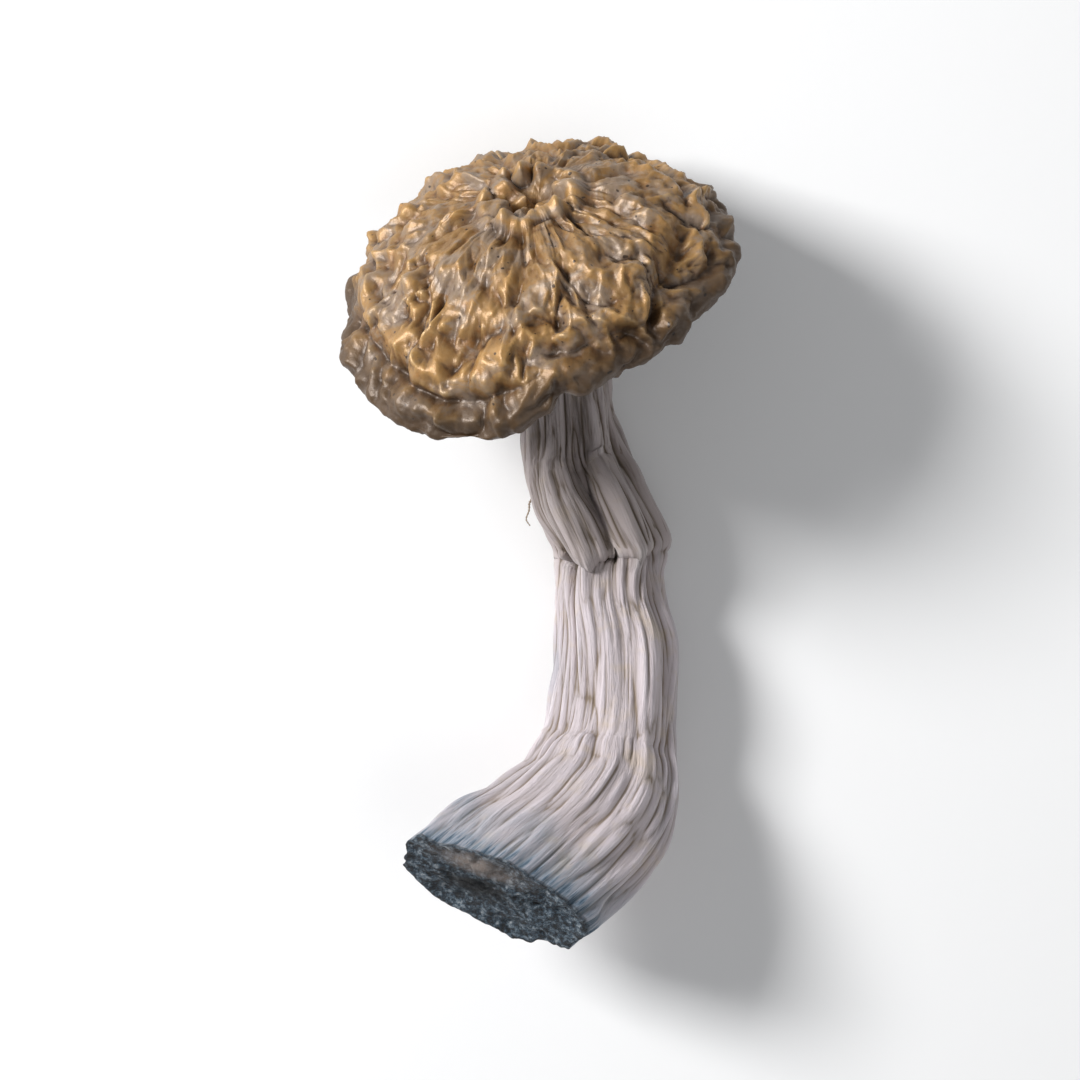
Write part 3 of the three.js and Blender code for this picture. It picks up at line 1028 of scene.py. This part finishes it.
class AddGills(bpy.types.Operator):
    """Adds the ring of thin gill blades, full and short ones in turn, under the cap"""

    bl_idname = "mushroom.gills"
    bl_label = "Gills"

    def execute(self, context):
        settings = context.scene.mushroom_gills
        grids = []
        edges = []
        blades = 2 * settings.count
        chance = np.random.default_rng(BLADE_SEED)
        for blade in range(blades):
            short = blade % 2 == 1
            grid, edge = self.blade(blade / blades * FULL_TURN, short, settings.thickness / MM, chance)
            grids.append(grid)
            edges.append(edge)
        piece = self.join(grids, frame_offset())
        paint(piece, "edge", np.array(edges))
        finish_piece(piece, gill_material(tuple(settings.colour)), "gills", "gills")
        return {"FINISHED"}

    def blade(self, angle, short, thickness, chance):
        """One blade: a thin closed section of eight points swept from the neck out to the rim.

        Its depth falls like a quarter of an ellipse, and it bends sideways in a slow wave.
        """
        neck = NECK_RADIUS + GILL_CLEARANCE
        inner = neck + (chance.uniform(*SHORT_BLADES) if short else 0)
        outer = ROOF_RADIUS - JOIN_GAP
        share = np.linspace(0, 1, BLADE_STEPS)[:, None]
        radius = inner + share * (outer - inner)
        whole = (radius - neck) / (outer - neck)
        depth = RIM_DEPTH + NECK_DEPTH * np.sqrt(np.clip(1 - whole**2, 0, 1))
        if short:
            depth = depth * smoothstep(-0.02, 0.5, share) * 0.8
        bend = 0.35 * np.sin(share * chance.uniform(4, 9) + chance.uniform(0, 6)) * SECTION_DOWN**1.5
        bend = bend + 0.3 * chance.uniform(-1, 1) * SECTION_DOWN
        sideways = SECTION_SIDE * thickness / 2 + bend
        turn = angle + sideways / np.maximum(radius, 1)
        height = roof_height(radius) + 0.1 - SECTION_DOWN * depth
        return cap_surface(turn, radius + 0 * turn, height), (SECTION_DOWN > 0.9) * np.ones_like(radius)

    def join(self, grids, offset):
        """All blades as one mesh, each closed by a fan at both ends."""
        rows, columns = grids[0].shape[:2]
        all_points = np.array(grids) * MM + offset
        all_points[..., 2] = np.maximum(all_points[..., 2], 0)
        count = len(grids)
        base = (np.arange(count) * rows * columns)[:, None, None]
        row = np.arange(rows - 1)[None, :, None] * columns
        column = np.arange(columns)[None, None, :]
        after = (column + 1) % columns
        above, below = base + row, base + row + columns
        quads = np.stack([above + column, below + column, below + after, above + after], axis=-1)
        side = np.arange(1, columns - 1)
        fan = np.stack([0 * side, side, side + 1], axis=-1)
        inner_ends = (base + fan).reshape(-1, 3)
        outer_ends = (base + (rows - 1) * columns + fan[:, ::-1]).reshape(-1, 3)
        mesh = bpy.data.meshes.new("gill_blades")
        triangles = np.concatenate([inner_ends, outer_ends])
        fill_mesh(mesh, all_points.reshape(-1, 3), quads.reshape(-1, 4), triangles)
        piece = bpy.data.objects.new("gill_blades", mesh)
        bpy.context.collection.objects.link(piece)
        return piece


class AddVeilFibre(bpy.types.Operator):
    """Adds the torn strand of veil that hangs off the stem's left side above the pinch"""

    bl_idname = "mushroom.veil_fibre"
    bl_label = "Veil fibre"

    def execute(self, context):
        offset = frame_offset()
        stem = bpy.data.objects["pleated_stem"]
        points = np.zeros(len(stem.data.vertices) * 3, np.float32)
        stem.data.vertices.foreach_get("co", points)
        points = points.reshape(-1, 3) / MM - offset / MM
        level = points[np.abs(points[:, 1] - FIBRE_ROOT) < 0.3]
        root = level[np.argmin(level[:, 0])] + (0.25, 0, 0.3)
        line = spline(root + np.array(FIBRE_PATH), np.linspace(0, len(FIBRE_PATH) - 1, FIBRE_ROWS))
        ahead = np.gradient(line, axis=0)
        wide = np.cross(ahead, (0, 0, 1.0))
        wide = wide / lengths(wide)
        deep = np.cross(wide, ahead)
        deep = deep / lengths(deep)
        taper = 1 - 0.55 * np.linspace(0, 1, FIBRE_ROWS)
        knots = 1 + 0.3 * np.sin(np.arange(FIBRE_ROWS) * 1.7)
        radius = (FIBRE_RADIUS * taper * knots)[:, None, None]
        turn = (np.arange(FIBRE_SIDES) / FIBRE_SIDES * FULL_TURN)[None, :, None]
        grid = line[:, None] + radius * (np.cos(turn) * wide[:, None] + np.sin(turn) * deep[:, None])
        piece = place_grid("veil_fibre", grid, offset)
        finish_piece(piece, fibre_material(), "stem_flesh")
        return {"FINISHED"}


class AddStage(bpy.types.Operator):
    """Adds the table, the soft lights and the camera that looks down on the mushroom"""

    bl_idname = "mushroom.stage"
    bl_label = "Stage"

    def execute(self, context):
        settings = context.scene.mushroom_stage
        low, high = (np.array(corner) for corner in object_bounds())
        middle = (low + high) / 2
        mesh = bpy.data.meshes.new("table")
        reach = TABLE_REACH
        corners = [(-reach, -reach, 0), (reach, -reach, 0), (reach, reach, 0), (-reach, reach, 0)]
        mesh.from_pydata(corners, [], [(0, 1, 2, 3)])
        table = bpy.data.objects.new("table", mesh)
        mesh.materials.append(floor_material(tuple(settings.table)))
        context.collection.objects.link(table)
        table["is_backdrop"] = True
        self.light("key", middle + KEY_PLACE, KEY_SIZE, settings.key_power, middle)
        self.light("fill", middle + FILL_PLACE, FILL_SIZE, settings.key_power * FILL_SHARE, middle)
        world = bpy.data.worlds.new("soft_room")
        context.scene.world = world
        world.use_nodes = True
        background = world.node_tree.nodes["Background"]
        background.inputs["Color"].default_value = ROOM_COLOUR
        background.inputs["Strength"].default_value = ROOM_STRENGTH
        self.camera(context, middle)
        context.scene.view_settings.view_transform = "Standard"
        return {"FINISHED"}

    def light(self, name, place, size, power, target):
        """A square soft light that faces the target."""
        data = bpy.data.lights.new(name, "AREA")
        data.energy = power
        data.size = size
        lamp = bpy.data.objects.new(name, data)
        lamp.location = place
        lamp.rotation_euler = (Vector(target) - lamp.location).to_track_quat("-Z", "Y").to_euler()
        bpy.context.collection.objects.link(lamp)
        lamp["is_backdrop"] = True

    def camera(self, context, middle):
        """A long lens straight above the mushroom, with the cap at the top of the frame."""
        data = bpy.data.cameras.new("camera")
        data.sensor_width = SENSOR_WIDTH
        data.lens = SENSOR_WIDTH * CAMERA_DISTANCE / FRAME_WIDTH
        data.clip_start = 0.01
        camera = bpy.data.objects.new("camera", data)
        camera.location = (middle[0], middle[1], frame_offset()[2] + CAMERA_DISTANCE)
        context.collection.objects.link(camera)
        context.scene.camera = camera


class MushroomPanel(bpy.types.Panel):
    """The sizes and colours of each piece, with the button that adds it"""

    bl_idname = "VIEW3D_PT_mushroom"
    bl_label = "Dried mushroom"
    bl_space_type = "VIEW_3D"
    bl_region_type = "UI"
    bl_category = "Mushroom"

    def draw(self, context):
        for operator, group, names in (
            (AddCap, "mushroom_cap", ("wrinkling", "skin", "ridge", "hollow")),
            (AddStem, "mushroom_stem", ("pleating", "flesh", "bruise")),
            (AddGills, "mushroom_gills", ("count", "thickness", "colour")),
            (AddVeilFibre, None, ()),
            (AddStage, "mushroom_stage", ("key_power", "table")),
        ):
            box = self.layout.box()
            for name in names:
                box.prop(getattr(context.scene, group), name)
            box.operator(operator.bl_idname)


GROUPS = {
    "mushroom_cap": MushroomCap,
    "mushroom_stem": MushroomStem,
    "mushroom_gills": MushroomGills,
    "mushroom_stage": MushroomStage,
}
CLASSES = (*GROUPS.values(), AddCap, AddStem, AddGills, AddVeilFibre, AddStage, MushroomPanel)


def register():
    for cls in CLASSES:
        bpy.utils.register_class(cls)
    for name, group in GROUPS.items():
        setattr(bpy.types.Scene, name, bpy.props.PointerProperty(type=group))


def unregister():
    for name in GROUPS:
        delattr(bpy.types.Scene, name)
    for cls in reversed(CLASSES):
        bpy.utils.unregister_class(cls)


def main():
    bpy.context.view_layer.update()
    register()
    bpy.ops.mushroom.cap()
    bpy.ops.mushroom.stem()
    bpy.ops.mushroom.gills()
    bpy.ops.mushroom.veil_fibre()
    bpy.ops.mushroom.stage()


if __name__ == "__main__":
    main()
